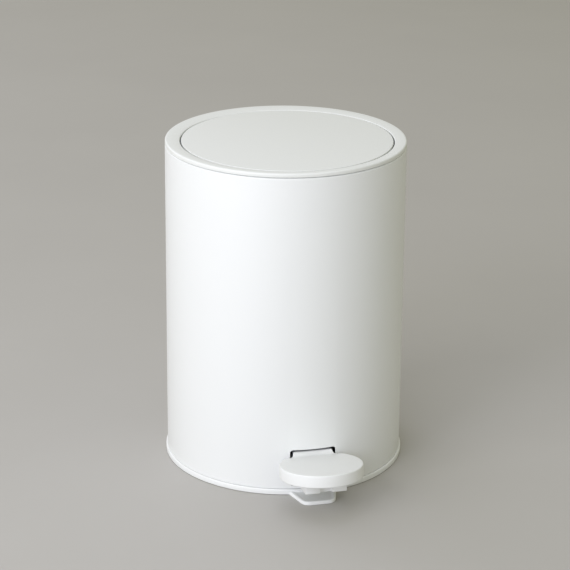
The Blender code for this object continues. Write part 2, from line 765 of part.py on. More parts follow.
BODIES = {
    "pedal_axis": (
        (0, PIVOT_Y, PIVOT_Z),
        ["pedal_pad", "pedal_arm", "pivot_bush_left", "pivot_bush_right"]
        + [f"pad_screw_{place}_{side}" for place in ("rear", "front") for side in ("left", "right")],
    ),
    "rod_axis": (
        (0, ROD_Y, FOOT_PIN_Z),
        ["push_rod", "rod_foot", "rod_foot_pin", "rod_head", "damper_piston", "damper_link"],
    ),
    "lid_axis": (
        (0, HINGE_Y, HINGE_Z),
        ["lid_disc", "lid_liner", "lid_hinge_arms", "lid_crank_pin", "lid_screw_left", "lid_screw_right"],
    ),
    "bucket_axis": ((0, OPENING_Y, BUCKET_LOW), ["inner_bucket"]),
    "handle_axis": (
        (0, OPENING_Y, BAIL_Z),
        ["bucket_handle", "handle_grip", "handle_cap_left", "handle_cap_right"],
    ),
}


def hang_on_axes():
    """Parents each moving piece to an empty that stands on its joint's axis."""
    for name, (place, pieces) in BODIES.items():
        axis = bpy.data.objects.new(name, None)
        bpy.context.scene.collection.objects.link(axis)
        axis.location = Vector(place) * MM
        for piece in pieces:
            obj = bpy.data.objects[piece]
            obj.parent = axis
            obj.matrix_parent_inverse = Matrix.Translation(-axis.location)


def main():
    clear_scene()
    base()
    body_shell()
    pedal_pad()
    pedal_arm()
    pivot_parts()
    return_spring()
    deck()
    push_rod()
    damper()
    collar()
    lid()
    lid_hinge()
    bucket()
    bail()
    hang_on_axes()


main()
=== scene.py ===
"""Looks of the round pedal bin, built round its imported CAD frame.

Lengths are in millimetres here and become metres in mesh_object(), wire() and the camera.
The can's axis is Z, the pedal points along -Y and the lid's hinge is at +Y.
"""

import math

import bmesh
import bpy
from mathutils import Matrix, Vector


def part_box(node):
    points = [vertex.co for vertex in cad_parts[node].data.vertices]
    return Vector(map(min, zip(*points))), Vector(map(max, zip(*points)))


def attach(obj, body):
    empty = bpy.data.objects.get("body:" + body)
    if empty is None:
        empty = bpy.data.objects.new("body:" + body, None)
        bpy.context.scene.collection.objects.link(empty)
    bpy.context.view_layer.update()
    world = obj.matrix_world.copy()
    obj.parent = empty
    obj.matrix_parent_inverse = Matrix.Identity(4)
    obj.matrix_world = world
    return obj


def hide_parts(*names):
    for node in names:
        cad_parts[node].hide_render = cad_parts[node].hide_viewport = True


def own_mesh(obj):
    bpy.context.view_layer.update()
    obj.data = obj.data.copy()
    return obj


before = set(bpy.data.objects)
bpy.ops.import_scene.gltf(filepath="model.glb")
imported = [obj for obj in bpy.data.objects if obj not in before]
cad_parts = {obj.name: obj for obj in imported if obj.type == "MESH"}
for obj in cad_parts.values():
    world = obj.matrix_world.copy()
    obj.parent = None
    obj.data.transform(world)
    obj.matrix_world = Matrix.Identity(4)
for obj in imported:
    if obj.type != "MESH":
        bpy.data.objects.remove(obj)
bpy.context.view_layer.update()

MM = 0.001
SEGMENTS = 240          # round a full turn of a large piece
SMALL_SEGMENTS = 48     # round a full turn of a pin or screw
SHARP = math.radians(32)


def box_mm(node):
    """Lowest and highest corner of a CAD node, in millimetres."""
    low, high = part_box(node)
    return low / MM, high / MM


# Sizes read from the frame
can_low, can_high = box_mm("body_shell")
collar_low, collar_high = box_mm("top_collar")
lid_low, lid_high = box_mm("lid_disc")
base_low, base_high = box_mm("base_moulding")
BODY_R = can_high.x
BODY_LOW, BODY_TOP = can_low.z, can_high.z
COLLAR_R = collar_high.x
HEIGHT = collar_high.z
SKIRT_LOW = collar_low.z
LID_R = lid_high.x
LID_Y = (lid_low.y + lid_high.y) / 2
LID_UNDER = lid_low.z
BASE_R = base_high.x
TONGUE_FRONT = base_low.y

# Sizes that repeat the CAD source
WALL = 0.6
SHADOW_TOP = 280.6
OPENING_R = 90.8
COLLAR_PLATE = 2.0
SLOT_HALF, SLOT_LOW, SLOT_HIGH = 19.75, 8.0, 40.8
PAD_Y, PAD_Z, PAD_R, PAD_THICK = -128.3, 38.9, 35.1, 10.4
PAD_TILT = math.radians(8.15)
TONGUE_TOP = 3.4
TONGUE_ROOT_HALF, TONGUE_TIP_HALF, TONGUE_CORNER = 21.6, 13.6, 8.0
SPIGOT_TOP = 16.0
BASE_FLOOR = 3.3
HINGE_Y = (box_mm("lid_hinge_pin")[0].y + box_mm("lid_hinge_pin")[1].y) / 2
BAIL_Z = (box_mm("bucket_handle")[0].z + box_mm("bucket_handle")[1].z) / 2
BAIL_WIRE = box_mm("bucket_handle")[1].z - BAIL_Z
BAIL_R = 82.0
BUCKET_RIM = 254.6


# ---------------------------------------------------------------- mesh helpers


def mesh_object(name, points, faces):
    """An object in metres from points in millimetres, with doubles merged and faces turned outwards."""
    bm = bmesh.new()
    made = [bm.verts.new(Vector(point) * MM) for point in points]
    for face in faces:
        bm.faces.new([made[i] for i in face])
    bmesh.ops.remove_doubles(bm, verts=bm.verts, dist=1e-6)
    bmesh.ops.recalc_face_normals(bm, faces=bm.faces)
    mesh = bpy.data.meshes.new(name)
    bm.to_mesh(mesh)
    bm.free()
    obj = bpy.data.objects.new(name, mesh)
    bpy.context.scene.collection.objects.link(obj)
    return obj


def loft(name, loops, capped=False):
    """Joins rows of equally many points with quads. Rows and ends that coincide merge."""
    count = len(loops[0])
    points = [point for loop in loops for point in loop]
    faces = []
    for i in range(len(loops) - 1):
        for k in range(count - 1):
            a = i * count + k
            faces.append((a, a + 1, a + count + 1, a + count))
    if capped:
        last = (len(loops) - 1) * count
        faces.append(tuple(range(count - 1)))
        faces.append(tuple(range(last, last + count - 1)))
    return mesh_object(name, points, faces)


def softened(corners, closed=True, steps=5):
    """Rounds the corners of an outline. Each corner is (a, b, radius); an open outline keeps its ends."""
    points = []
    count = len(corners)
    for i, (a, b, radius) in enumerate(corners):
        here = Vector((a, b))
        if radius == 0 or (not closed and i in (0, count - 1)):
            points.append((a, b))
            continue
        back = (Vector(corners[i - 1][:2]) - here).normalized()
        on = (Vector(corners[(i + 1) % count][:2]) - here).normalized()
        half = back.angle(on) / 2
        start = here + back * radius / math.tan(half)
        end = here + on * radius / math.tan(half)
        centre = here + (back + on).normalized() * radius / math.sin(half)
        first = math.atan2(*(start - centre).yx)
        turn = math.remainder(math.atan2(*(end - centre).yx) - first, math.tau)
        for k in range(steps + 1):
            angle = first + turn * k / steps
            points.append((centre.x + radius * math.cos(angle), centre.y + radius * math.sin(angle)))
    return points


def turned(name, corners, centre=(0, 0, 0), axis="Z", segments=SEGMENTS, steps=5):
    """Turns an outline of (radius, height, rounding) corners about an axis through centre.

    An outline that starts and ends on the axis makes a full disc; any other is closed into a ring."""
    ring = corners[0][0] > 0
    outline = softened(corners, ring, steps)
    if ring:
        outline.append(outline[0])
    angles = [math.tau * i / segments for i in range(segments + 1)]
    turn = Matrix.Rotation(math.pi / 2, 3, "Y") if axis == "X" else Matrix.Identity(3)
    middle = Vector(centre)
    loops = [
        [middle + turn @ Vector((r * math.cos(a), r * math.sin(a), z)) for a in angles]
        for r, z in outline
    ]
    return loft(name, loops)


def prism(name, outline, low, high, axis="Z"):
    """Extrudes a flat outline. Along Z its points are (x, y), along X (y, z) and along Y (x, z)."""
    order = {
        "Z": lambda a, b, c: (a, b, c),
        "X": lambda a, b, c: (c, a, b),
        "Y": lambda a, b, c: (a, c, b),
    }
    closed = list(outline) + [outline[0]]
    loops = [[order[axis](a, b, level) for a, b in closed] for level in (low, high)]
    return loft(name, loops, capped=True)


def inset(outline, distance):
    """Moves each point of a closed anticlockwise outline inwards by distance."""
    moved = []
    count = len(outline)
    for i in range(count):
        before = Vector(outline[i]) - Vector(outline[i - 1])
        after = Vector(outline[(i + 1) % count]) - Vector(outline[i])
        way = (before.normalized() + after.normalized()).normalized()
        stretch = max(0.5, way.dot(after.normalized()))
        moved.append((outline[i][0] - way.y * distance / stretch, outline[i][1] + way.x * distance / stretch))
    return moved


def wire(name, points, radius, closed=False):
    """A round wire of the given radius along points."""
    curve = bpy.data.curves.new(name, "CURVE")
    curve.dimensions = "3D"
    spline = curve.splines.new("POLY")
    spline.points.add(len(points) - 1)
    for target, point in zip(spline.points, points):
        target.co = (*(Vector(point) * MM), 1.0)
    spline.use_cyclic_u = closed
    curve.bevel_depth = radius * MM
    curve.bevel_resolution = 5
    curve.use_fill_caps = True
    guide = bpy.data.objects.new(name + "_line", curve)
    bpy.context.scene.collection.objects.link(guide)
    mesh = bpy.data.meshes.new_from_object(guide.evaluated_get(bpy.context.evaluated_depsgraph_get()))
    bpy.data.objects.remove(guide)
    mesh.name = name
    obj = bpy.data.objects.new(name, mesh)
    bpy.context.scene.collection.objects.link(obj)
    return obj


def settle(obj):
    """Turns the object's modifiers into its own mesh."""
    graph = bpy.context.evaluated_depsgraph_get()
    mesh = bpy.data.meshes.new_from_object(obj.evaluated_get(graph))
    obj.modifiers.clear()
    obj.data = mesh
    return obj


def boolean(obj, operation, *helpers):
    for helper in helpers:
        change = obj.modifiers.new(helper.name, "BOOLEAN")
        change.operation = operation
        change.object = helper
    settle(obj)
    for helper in helpers:
        bpy.data.objects.remove(helper)
    return obj


def round_edges(obj, width, segments=3, angle=35.0):
    """Rounds the edges that are sharper than angle, in degrees, by a bevel of width millimetres."""
    bevel = obj.modifiers.new("rounding", "BEVEL")
    bevel.width = width * MM
    bevel.segments = segments
    bevel.limit_method = "ANGLE"
    bevel.angle_limit = math.radians(angle)
    bevel.harden_normals = True
    return obj


def smooth_group():
    """A node group that shades faces smooth and keeps edges sharper than SHARP crisp."""
    found = bpy.data.node_groups.get("smooth_by_angle")
    if found:
        return found
    group = bpy.data.node_groups.new("smooth_by_angle", "GeometryNodeTree")
    group.interface.new_socket("Geometry", in_out="INPUT", socket_type="NodeSocketGeometry")
    group.interface.new_socket("Geometry", in_out="OUTPUT", socket_type="NodeSocketGeometry")
    start = group.nodes.new("NodeGroupInput")
    all_smooth = group.nodes.new("GeometryNodeSetShadeSmooth")
    angle = group.nodes.new("GeometryNodeInputMeshEdgeAngle")
    above = group.nodes.new("FunctionNodeCompare")
    above.data_type = "FLOAT"
    above.operation = "GREATER_THAN"
    above.inputs[1].default_value = SHARP
    crisp = group.nodes.new("GeometryNodeSetShadeSmooth")
    crisp.domain = "EDGE"
    crisp.inputs["Shade Smooth"].default_value = False
    end = group.nodes.new("NodeGroupOutput")
    join = group.links.new
    join(start.outputs[0], all_smooth.inputs["Geometry"])
    join(all_smooth.outputs[0], crisp.inputs["Geometry"])
    join(angle.outputs["Unsigned Angle"], above.inputs[0])
    join(above.outputs[0], crisp.inputs["Selection"])
    join(crisp.outputs[0], end.inputs[0])
    return group


# ---------------------------------------------------------------- materials


def surface(
    name,
    colours,
    roughness,
    patch=30.0,
    grain=0.8,
    depth=0.01,
    metallic=0.0,
    **constants,
):
    """A moulded, painted or metal surface.

    colours are the two that slow patches of the given size, in millimetres, move between; roughness is
    the range that they move through. grain is the size of the fine relief and depth its height."""
    made = bpy.data.materials.new(name)
    made.use_nodes = True
    nodes, link = made.node_tree.nodes, made.node_tree.links.new
    shader = nodes["Principled BSDF"]
    place = nodes.new("ShaderNodeTexCoord")

    patches = nodes.new("ShaderNodeTexNoise")
    patches.inputs["Scale"].default_value = 1000.0 / patch
    patches.inputs["Detail"].default_value = 3.0
    link(place.outputs["Object"], patches.inputs["Vector"])
    mix = nodes.new("ShaderNodeMix")
    mix.data_type = "RGBA"
    mix.inputs[6].default_value = (*colours[0], 1.0)
    mix.inputs[7].default_value = (*colours[1], 1.0)
    link(patches.outputs["Fac"], mix.inputs[0])
    link(mix.outputs[2], shader.inputs["Base Color"])

    spread = nodes.new("ShaderNodeMapRange")
    spread.inputs["From Min"].default_value = 0.3
    spread.inputs["From Max"].default_value = 0.7
    spread.inputs["To Min"].default_value = roughness[0]
    spread.inputs["To Max"].default_value = roughness[1]
    link(patches.outputs["Fac"], spread.inputs["Value"])
    link(spread.outputs[0], shader.inputs["Roughness"])

    fine = nodes.new("ShaderNodeTexNoise")
    fine.inputs["Scale"].default_value = 1000.0 / grain
    fine.inputs["Detail"].default_value = 2.0
    link(place.outputs["Object"], fine.inputs["Vector"])
    bump = nodes.new("ShaderNodeBump")
    bump.inputs["Strength"].default_value = 1.0
    bump.inputs["Distance"].default_value = depth * MM
    link(fine.outputs["Fac"], bump.inputs["Height"])
    link(bump.outputs[0], shader.inputs["Normal"])

    shader.inputs["Metallic"].default_value = metallic
    for socket, value in constants.items():
        shader.inputs[socket.replace("_", " ")].default_value = value
    return made


MATERIALS = {
    "body_paint": surface(
        "body_paint", [(0.86, 0.872, 0.875), (0.84, 0.853, 0.856)], (0.40, 0.46), 60.0, 0.9, 0.006
    ),
    "lid_paint": surface(
        "lid_paint", [(0.83, 0.845, 0.83), (0.815, 0.83, 0.815)], (0.44, 0.5), 45.0, 0.35, 0.004
    ),
    "white_plastic": surface(
        "white_plastic", [(0.85, 0.86, 0.86), (0.835, 0.845, 0.843)], (0.40, 0.46), 25.0, 0.4, 0.004
    ),
    "grey_plastic": surface(
        "grey_plastic", [(0.10, 0.105, 0.11), (0.09, 0.095, 0.10)], (0.45, 0.55), 35.0, 0.5, 0.012
    ),
    "nylon": surface(
        "nylon",
        [(0.62, 0.60, 0.52), (0.58, 0.56, 0.48)],
        (0.35, 0.45),
        12.0,
        0.6,
        0.004,
        Subsurface_Weight=0.15,
    ),
    "rubber": surface("rubber", [(0.022, 0.022, 0.022), (0.03, 0.03, 0.03)], (0.7, 0.85), 10.0, 0.5, 0.02),
    "seal": surface("seal", [(0.36, 0.37, 0.36), (0.33, 0.34, 0.33)], (0.55, 0.65), 12.0, 0.4, 0.008),
    "zinc_steel": surface(
        "zinc_steel", [(0.56, 0.57, 0.59), (0.46, 0.47, 0.49)], (0.28, 0.42), 6.0, 0.6, 0.004, 1.0
    ),
    "bright_steel": surface(
        "bright_steel",
        [(0.66, 0.66, 0.67), (0.58, 0.58, 0.59)],
        (0.18, 0.3),
        4.0,
        0.25,
        0.002,
        1.0,
        Anisotropic=0.3,
    ),
}


def show(obj, body, slot, *nodes):
    """Finishes a new piece: shading, material, the body it rides on and the CAD nodes it stands for."""
    obj.data.shade_smooth()
    obj.data.set_sharp_from_angle(angle=SHARP)
    obj.data.materials.clear()
    obj.data.materials.append(MATERIALS[slot])
    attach(obj, body)
    if nodes:
        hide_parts(*nodes)
    return obj


def refine(node, slot, width=0.25):
    """Keeps a CAD node: merges its facets, rounds its edges and gives it its finish."""
    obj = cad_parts[node]
    weld = obj.modifiers.new("weld", "WELD")
    weld.merge_threshold = 1e-5
    flat = obj.modifiers.new("flat_faces", "DECIMATE")
    flat.decimate_type = "DISSOLVE"
    flat.angle_limit = math.radians(1.0)
    if width:
        round_edges(obj, width, 2, 40.0)
        obj.modifiers["rounding"].harden_normals = False
    smooth = obj.modifiers.new("smooth", "NODES")
    smooth.node_group = smooth_group()
    for target in obj.material_slots:
        target.link = "OBJECT"
        target.material = MATERIALS[slot]
    return obj


# ---------------------------------------------------------------- can and base


def can_wall():
    """Painted sheet wall: its top is turned in, and the pedal's slot is cut low at the front."""
    lip = BODY_R - WALL - 1.5
    wall = turned(
        "can_wall",
        [
            (BODY_R, BODY_LOW, 0.3),
            (BODY_R - WALL, BODY_LOW, 0.3),
            (BODY_R - WALL, BODY_TOP - WALL, 0.2),
            (lip, BODY_TOP - WALL, 0.3),
            (lip, BODY_TOP, 0.3),
            (BODY_R, BODY_TOP, 1.4),
        ],
    )
    corner = 2.6
    hole = softened(
        [
            (-SLOT_HALF, SLOT_LOW, corner),
            (SLOT_HALF, SLOT_LOW, corner),
            (SLOT_HALF, SLOT_HIGH, corner),
            (-SLOT_HALF, SLOT_HIGH, corner),
        ],
        steps=8,
    )
    boolean(wall, "DIFFERENCE", prism("slot_cutter", hole, -BODY_R - 4.0, -BODY_R + 8.0, "Y"))
    round_edges(wall, 0.25, 2, 50.0)
    show(wall, "housing", "body_paint", "body_shell")


def tongue_outline():
    """Plan of the foot tongue below the pedal, anticlockwise from its right root."""
    root = -BODY_R + 4.0
    corners = [
        (-TONGUE_ROOT_HALF, root, 0.0),
        (-TONGUE_TIP_HALF, TONGUE_FRONT, TONGUE_CORNER),
        (TONGUE_TIP_HALF, TONGUE_FRONT, TONGUE_CORNER),
        (TONGUE_ROOT_HALF, root, 0.0),
    ]
    return softened(corners, steps=10)


def foot_base():
    """Moulded base: the ring that shows below the can, its spigot and the tongue below the pedal."""
    spigot = BODY_R - WALL - 0.3
    base = turned(
        "foot_base",
        [
            (0, BASE_FLOOR, 0),
            (spigot - 2.0, BASE_FLOOR, 0.6),
            (spigot - 2.0, SPIGOT_TOP, 0.4),
            (spigot, SPIGOT_TOP, 0.6),
            (spigot, 5.0, 0.2),
            (BASE_R, 5.0, 1.1),
            (BASE_R, 0.3, 0.7),
            (92.6, 0.3, 0.2),
            (92.6, 1.3, 0.1),
            (0, 1.3, 0),
        ],
    )
    outline = tongue_outline()
    section = [
        (0.4, 0.3),
        (0.0, 0.7),
        (0.0, TONGUE_TOP - 1.1),
        (0.16, TONGUE_TOP - 0.58),
        (0.5, TONGUE_TOP - 0.2),
        (1.0, TONGUE_TOP),
        (2.7, TONGUE_TOP - 0.02),
        (3.2, TONGUE_TOP - 0.2),
        (3.6, TONGUE_TOP - 0.45),
        (4.0, TONGUE_TOP - 0.55),
    ]
    loops = []
    for distance, level in section:
        ring = inset(outline, distance)
        loops.append([(x, y, level) for x, y in ring + ring[:1]])
    tongue = loft("tongue", loops, capped=True)
    gate = prism("gate", [(-21, -BODY_R), (21, -BODY_R), (21, -90), (-21, -90)], 5.0, 20.0)
    boolean(base, "UNION", tongue)
    boolean(base, "DIFFERENCE", gate)
    show(base, "housing", "white_plastic", "base_moulding")


def grip_mat():
    """Rubber mat under the base, with rings moulded into its underside."""
    low, high = box_mm("anti_slip_mat")
    radius = high.x
    corners = [(0, high.z, 0), (radius, high.z, 0.15), (radius, low.z, 0.25)]
    for groove in range(9):
        outer = radius - 5.0 - groove * 9.0
        corners += [
            (outer, low.z, 0.1),
            (outer - 0.5, low.z + 0.45, 0.1),
            (outer - 2.5, low.z + 0.45, 0.1),
            (outer - 3.0, low.z, 0.1),
        ]
    corners.append((0, low.z, 0))
    show(turned("grip_mat", corners, steps=2), "housing", "rubber", "anti_slip_mat")


# ---------------------------------------------------------------- top


def opening_collar():
    """Ring round the lid: its outside is round about the can's axis, its mouth about the lid's own centre."""
    outer = softened(
        [
            (98.2, HEIGHT - COLLAR_PLATE, 0.5),
            (98.2, SKIRT_LOW, 0.3),
            (99.7, SKIRT_LOW, 0.3),
            (99.7, BODY_TOP + 0.3, 0.1),
            (101.2, BODY_TOP + 0.3, 0.1),
            (101.2, SHADOW_TOP, 0.1),
            (COLLAR_R, SHADOW_TOP, 0.25),
            (COLLAR_R, HEIGHT, 1.5),
            (OPENING_R + 7.0, HEIGHT, 0),
        ],
        closed=False,
        steps=8,
    )
    mouth = softened(
        [
            (OPENING_R + 3.0, HEIGHT, 0),
            (OPENING_R, HEIGHT, 0.85),
            (OPENING_R, HEIGHT - COLLAR_PLATE, 0.3),
            (OPENING_R + 2.0, HEIGHT - COLLAR_PLATE, 0),
        ],
        closed=False,
    )
    angles = [math.tau * i / SEGMENTS for i in range(SEGMENTS + 1)]
    loops = [[(r * math.cos(a), r * math.sin(a), z) for a in angles] for r, z in outer]
    first = loops[0]
    loops += [[(r * math.cos(a), LID_Y + r * math.sin(a), z) for a in angles] for r, z in mouth[1:-1]]
    loops.append(first)
    ring = loft("opening_collar", loops)
    gate = prism("rear_gate", [(-26, 80), (26, 80), (26, 120), (-26, 120)], 250.0, HEIGHT - 5.0)
    room = prism("hub_room", [(-26, 91), (26, 91), (26, 99.3), (-26, 99.3)], 270.0, HEIGHT - COLLAR_PLATE)
    boolean(ring, "DIFFERENCE", gate, room)
    show(ring, "housing", "lid_paint", "top_collar")


def lid_top():
    """The lid's flat disc, with a small rounding at its edge."""
    disc = turned(
        "lid_top",
        [(0, HEIGHT, 0), (LID_R, HEIGHT, 0.5), (LID_R, LID_UNDER, 0.4), (0, LID_UNDER, 0)],
        (0, LID_Y, 0),
        steps=8,
    )
    show(disc, "lid", "lid_paint", "lid_disc")


def lid_underside():
    """Moulded cover inside the lid: a raised edge, a stepped panel and a boss for the hinge arms."""
    low, high = box_mm("lid_liner")
    radius = high.x
    cover = turned(
        "lid_underside",
        [
            (0, high.z, 0),
            (radius, high.z, 0.3),
            (radius, low.z, 0.9),
            (79.5, low.z, 0.6),
            (78.6, low.z + 0.9, 0.5),
            (47.0, low.z + 0.9, 0.3),
            (46.4, low.z + 0.5, 0.3),
            (44.0, low.z + 0.5, 0.3),
            (43.4, low.z + 0.9, 0.3),
            (0, low.z + 0.9, 0),
        ],
        (0, LID_Y, 0),
    )
    boss_outline = softened([(-23, 52, 4), (23, 52, 4), (23, 77.5, 1.5), (-23, 77.5, 1.5)], steps=6)
    boss = prism("hinge_boss", boss_outline, low.z, high.z - 0.5)
    boolean(cover, "UNION", boss)
    for side, name in ((-1, "left"), (1, "right")):
        x = side * 16.0
        hole = [(0, 270, 0), (1.8, 270, 0), (1.8, 280.4, 0), (0, 280.4, 0)]
        bore = turned(f"bore_{name}", hole, (x, 64, 0), "Z", 32)
        boolean(cover, "DIFFERENCE", bore)
    round_edges(cover, 0.2, 2, 60.0)
    show(cover, "lid", "white_plastic", "lid_liner")


def lid_seat():
    """Soft ring that the lid closes on, open at the back for the hinge arms."""
    low, high = box_mm("lid_seat_ring")
    inner, outer, step = 87.2, high.x, 91.2
    corners = [
        (inner, low.z, 0.4),
        (outer, low.z, 0.4),
        (outer, high.z, 0.2),
        (step, high.z, 0.2),
        (step, high.z - 0.6, 0.1),
        (inner, high.z - 0.6, 0.7),
    ]
    ring = turned("lid_seat", corners, (0, LID_Y, 0), steps=4)
    gate = prism("seat_gate", [(-26, 60), (26, 60), (26, 120), (-26, 120)], 250.0, 300.0)
    boolean(ring, "DIFFERENCE", gate)
    show(ring, "housing", "seal", "lid_seat_ring")


# ---------------------------------------------------------------- pedal


RISER = [(0.0, 0.0, 0.0), (25.9, 0.0, 4.4), (27.4, 3.6, 1.1), (35.2, 4.3, 0.0)]
NECK_HALF = 16.5
NECK_FADE = 4.5             # how far outside the neck the riser dies away
SHOULDER_V = 25.9
SHOULDER_ANGLE = 46.0       # degrees from the neck's direction to where the disc's edge is cut off
PAD_BACK = 33.4
EDGE = 1.0                  # rounding of the pad's top edge


def riser_height(x, v):
    """Height above the pad's plane: it climbs towards the slot across the neck and dies away at its sides."""
    profile = softened(RISER, closed=False, steps=12)
    height = profile[-1][1]
    for (v0, h0), (v1, h1) in zip(profile, profile[1:]):
        if v <= v1:
            height = h0 + (h1 - h0) * max(0.0, v - v0) / (v1 - v0)
            break
    out = min(1.0, max(0.0, (abs(x) - NECK_HALF) / NECK_FADE))
    return height * (1 - out * out * (3 - 2 * out))


def even(points, spacing):
    """The same line with points about spacing apart."""
    result = [Vector(points[0])]
    for a, b in zip(points, points[1:]):
        a, b = Vector(a), Vector(b)
        parts = max(1, round((b - a).length / spacing))
        result += [a.lerp(b, (k + 1) / parts) for k in range(parts)]
    return result


def pad_half_outline():
    """Right half of the pad's plan as (x, v), from its neck round to the front. v runs towards the can."""
    start = math.radians(SHOULDER_ANGLE)
    along = start + math.radians(3.0)
    corner = (PAD_R * math.sin(start), PAD_R * math.cos(start))
    after = (PAD_R * math.sin(along), PAD_R * math.cos(along))
    neck = softened(
        [
            (NECK_HALF - 0.2, PAD_BACK, 0),
            (NECK_HALF + 0.6, SHOULDER_V, 3.4),
            (*corner, 1.4),
            (*after, 0),
        ],
        closed=False,
        steps=10,
    )
    shoulder = even(neck, 0.4)
    dense_to = math.radians(62.0)
    circle = []
    angle = along
    while angle < math.pi - 1e-3:
        angle += (0.5 if angle < dense_to else 1.3) / PAD_R
        angle = min(angle, math.pi)
        circle.append(Vector((PAD_R * math.sin(angle), PAD_R * math.cos(angle))))
    return shoulder + circle


def pedal_disc():
    """Round foot pad whose neck climbs into the slot, made of rings that run inwards from its outline."""
    right = pad_half_outline()
    left = [Vector((-p.x, p.y)) for p in reversed(right[:-1])]
    back = [Vector((left[-1].x + (right[0].x - left[-1].x) * k / 20, PAD_BACK)) for k in range(1, 20)]
    outline = list(reversed([tuple(p) for p in right + left + back]))

    travel = [0.0]
    for a, b in zip(right, right[1:]):
        travel.append(travel[-1] + (b - a).length)
    turning = next(i for i, p in enumerate(right) if p.y < 17.0)

    def spine(index):
        """Where on the middle line the rings from this point of the right half end."""
        if index < turning:
            share = travel[index] / travel[turning]
            return PAD_BACK + (right[turning].y - PAD_BACK) * share
        return max(0.0, right[index].y)

    half = [spine(i) for i in range(len(right))]
    middle = list(reversed(half + list(reversed(half[:-1])) + [PAD_BACK] * len(back)))

    lean = Matrix.Rotation(-PAD_TILT, 3, "X")
    centre = Vector((0, PAD_Y, PAD_Z))

    def loop_at(distance, share, height):
        """One ring: the outline moved inwards by distance, then drawn towards the middle line by share."""
        ring = inset(outline, distance)
        points = []
        for (x, v), middle_v in zip(ring, middle):
            x, v = x * (1 - share), v + (middle_v - v) * share
            points.append(centre + lean @ Vector((x, v, height(x, v))))
        return points + points[:1]

    shares = [k / 26 for k in range(26, 0, -1)]
    under_edge = 0.7
    pulls = [s * s * 0.35 + s * 0.65 for s in shares]
    loops = [loop_at(under_edge, pull, lambda x, v: -PAD_THICK) for pull in pulls]
    for k in range(5):
        a = math.pi / 2 * k / 4
        down = -PAD_THICK + under_edge * (1 - math.cos(a))
        loops.append(loop_at(under_edge * (1 - math.sin(a)), 0, lambda x, v, down=down: down))
    for k in range(9):
        a = math.pi / 2 * k / 8
        drop = EDGE * (1 - math.sin(a))
        inwards = EDGE * (1 - math.cos(a))
        loops.append(loop_at(inwards, 0, lambda x, v, drop=drop: riser_height(x, v) - drop))
    loops += [loop_at(EDGE, pull, riser_height) for pull in reversed(pulls)]
    pad = loft("pedal_disc", loops)
    show(pad, "pedal", "white_plastic", "pedal_pad")


# ---------------------------------------------------------------- bucket


def bucket():
    """Lift-out bucket with a turned-out rim and two ears that hold the wire handle."""
    low, high = box_mm("inner_bucket")
    rim = BUCKET_RIM
    floor = low.z
    pail = turned(
        "bucket",
        [
            (0, floor + 0.8, 0),
            (60.0, floor + 0.8, 0.3),
            (61.0, floor, 0.3),
            (75.0, floor, 2.4),
            (81.2, rim - 5.1, 0.3),
            (83.3, rim - 5.1, 0.4),
            (83.3, rim, 0.7),
            (80.6, rim, 0.6),
            (79.9, rim - 5.1, 0.3),
            (73.7, floor + 1.4, 3.0),
            (0, floor + 1.4, 0),
        ],
        (0, LID_Y, 0),
        steps=6,
    )
    for side, name in ((-1, "left"), (1, "right")):
        x_low, x_high = sorted((side * 77.0, side * 79.0))
        ear = [(LID_Y - 5.0, rim - 7.5), (LID_Y + 5.0, rim - 7.5)]
        ear += [
            (LID_Y + 4.6 * math.cos(math.pi * k / 20), BAIL_Z + 4.6 * math.sin(math.pi * k / 20))
            for k in range(21)
        ]
        root_low, root_high = sorted((side * 78.5, side * 81.8))
        root = [
            (LID_Y - 5.0, rim - 7.5),
            (LID_Y + 5.0, rim - 7.5),
            (LID_Y + 5.0, rim - 1.2),
            (LID_Y - 5.0, rim - 1.2),
        ]
        boolean(pail, "UNION", prism(f"ear_root_{name}", root, root_low, root_high, "X"))
        boolean(pail, "UNION", prism(f"ear_{name}", ear, x_low, x_high, "X"))
        bore_r = BAIL_WIRE + 0.35
        hole = [(0, x_low - 4, 0), (bore_r, x_low - 4, 0), (bore_r, x_high + 4, 0), (0, x_high + 4, 0)]
        bore = turned(f"ear_bore_{name}", hole, (0, LID_Y, BAIL_Z), "X", 32)
        boolean(pail, "DIFFERENCE", bore)
    round_edges(pail, 0.2, 2, 55.0)
    show(pail, "bucket", "grey_plastic", "inner_bucket")


